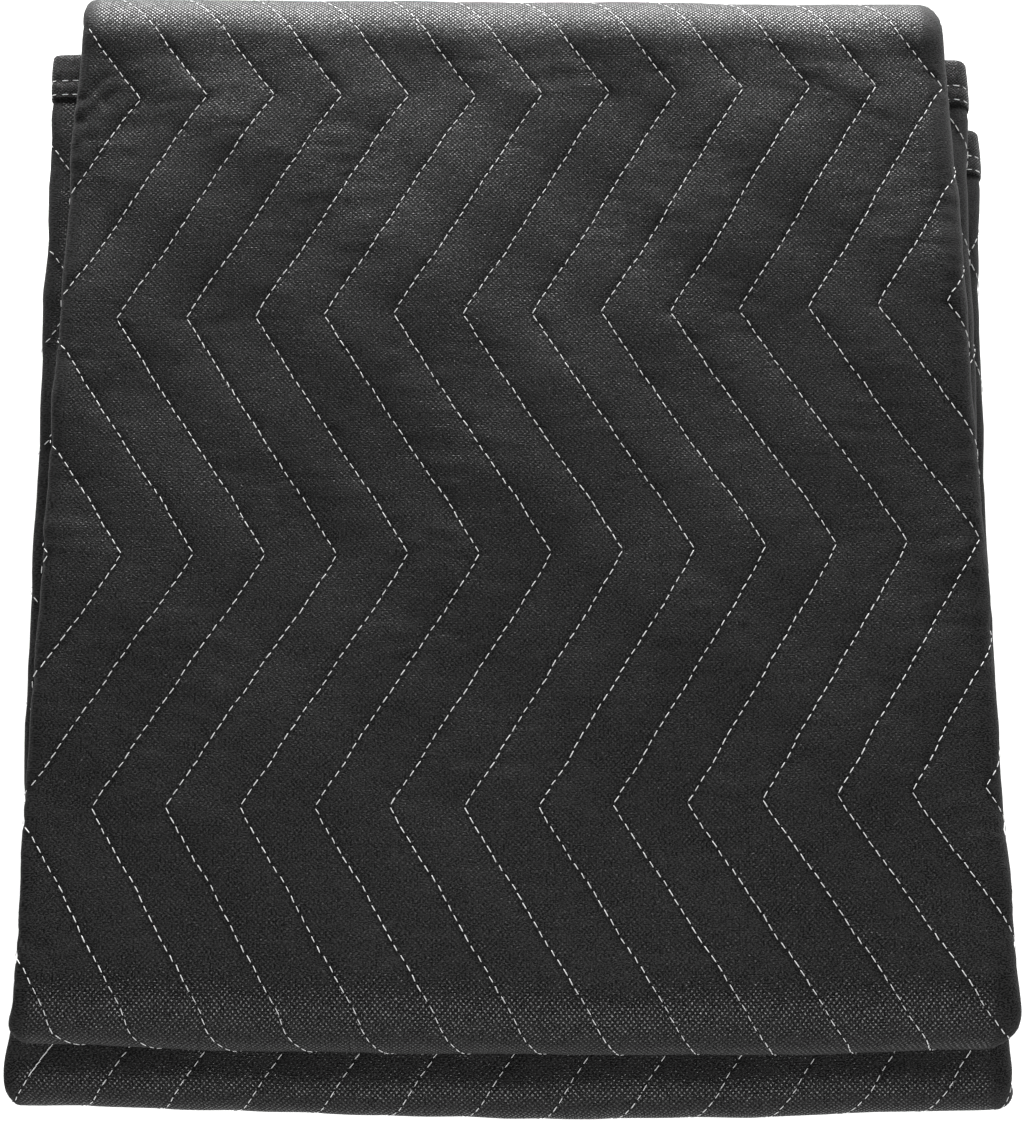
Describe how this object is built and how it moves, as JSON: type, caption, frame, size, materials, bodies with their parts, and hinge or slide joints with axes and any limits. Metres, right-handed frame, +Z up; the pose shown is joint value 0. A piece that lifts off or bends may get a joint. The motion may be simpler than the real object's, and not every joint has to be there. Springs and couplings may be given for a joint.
{
  "type": "moving pad",
  "caption": "Black quilted moving pad with zigzag stitching and bound edges, folded into a flat rectangular pack with a fat fold at the back.",
  "frame": {"origin": "centre of the bounding box's base, on the surface the folded pad lies on", "axes": "+X to the right seen from the front, where the two thinner folds lie one over the other; +Y to the single fat fold at the back; +Z up through the layers"},
  "size_m": [0.489, 0.5586, 0.0902],
  "materials": {
    "black_face_cloth": "matt non-woven cloth over wadding",
    "black_binding_tape": "matt tape"
  },
  "bodies": {
    "root": {"pad": "black_face_cloth", "binding_low_end": "black_binding_tape", "binding_high_end": "black_binding_tape", "binding_left_edge": "black_binding_tape", "binding_right_edge": "black_binding_tape"}
  },
  "joints": []
}
